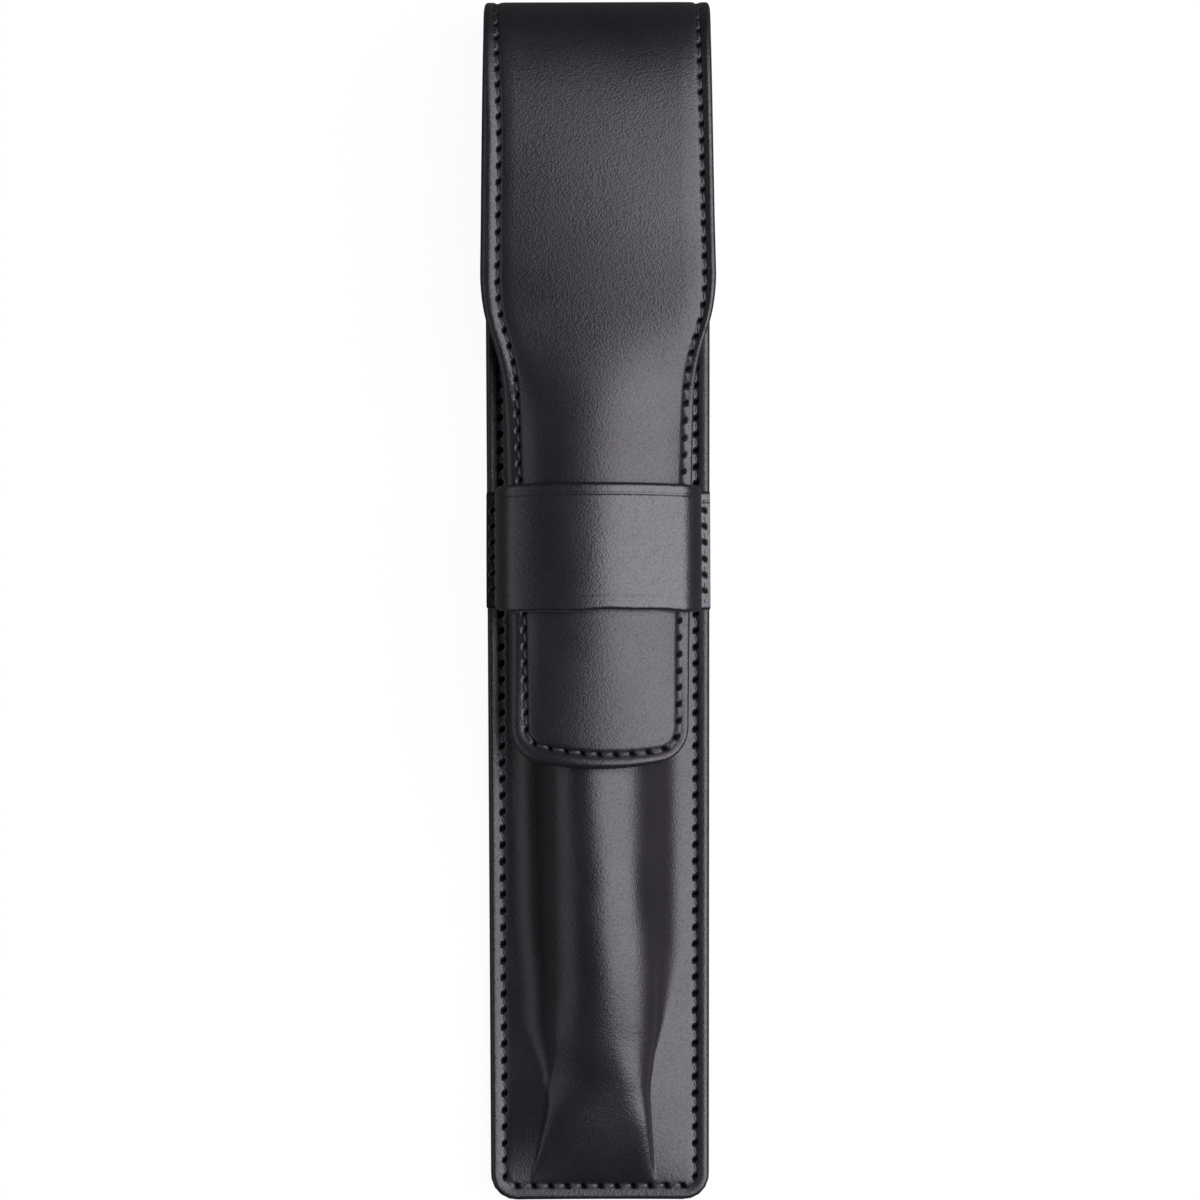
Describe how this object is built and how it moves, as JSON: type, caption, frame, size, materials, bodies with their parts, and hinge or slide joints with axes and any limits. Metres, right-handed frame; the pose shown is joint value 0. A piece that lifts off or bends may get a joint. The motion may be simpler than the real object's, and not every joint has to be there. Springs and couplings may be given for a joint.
{
  "type": "pen sleeve",
  "caption": "Slim leather sleeve for a pen: moulded front, back leather folded over the top as a flap, tongue tucked under a sewn strap.",
  "frame": {"origin": "middle of the sleeve's length and width, on the outer face of its back", "axes": "+X across the sleeve, +Y along it towards the top fold, +Z out of the moulded front"},
  "size_m": [0.0314, 0.16, 0.0175],
  "materials": {
    "outer_leather": "smooth, soft sheen",
    "lining_leather": "matt, fine nap",
    "stiffener_board": "matt",
    "thread": "waxed"
  },
  "bodies": {
    "sleeve": {"back_panel": "outer_leather", "back_stiffener": "stiffener_board", "back_lining": "lining_leather", "front_panel": "outer_leather", "front_lining": "lining_leather", "strap": "outer_leather", "strap_lining": "lining_leather", "seam_stitches_front": "thread", "seam_stitches_back": "thread", "strap_stitches": "thread", "mouth_stitches": "thread"},
    "fold": {"fold_leather": "outer_leather", "fold_lining": "lining_leather", "fold_stitches": "thread"},
    "flap": {"flap_leather": "outer_leather", "flap_lining": "lining_leather", "flap_stitches_front": "thread", "flap_stitches_inside": "thread"}
  },
  "joints": [
    {"name": "fold_base", "type": "hinge", "parent": "sleeve", "child": "fold", "pos_m": [0, 0.07815, 0.00185], "axis": [-1, 0, 0], "range_deg": [0, 86], "deforming": ["fold_leather", "fold_lining", "fold_stitches", "strap", "strap_lining"]},
    {"name": "fold_crown", "type": "hinge", "parent": "fold", "child": "flap", "pos_m": [0, 0.07815, 0.01115], "axis": [-1, 0, 0], "range_deg": [0, 86]}
  ],
  "couplings": [
    {"joint": "fold_crown", "follows": "fold_base", "ratio": 1}
  ]
}
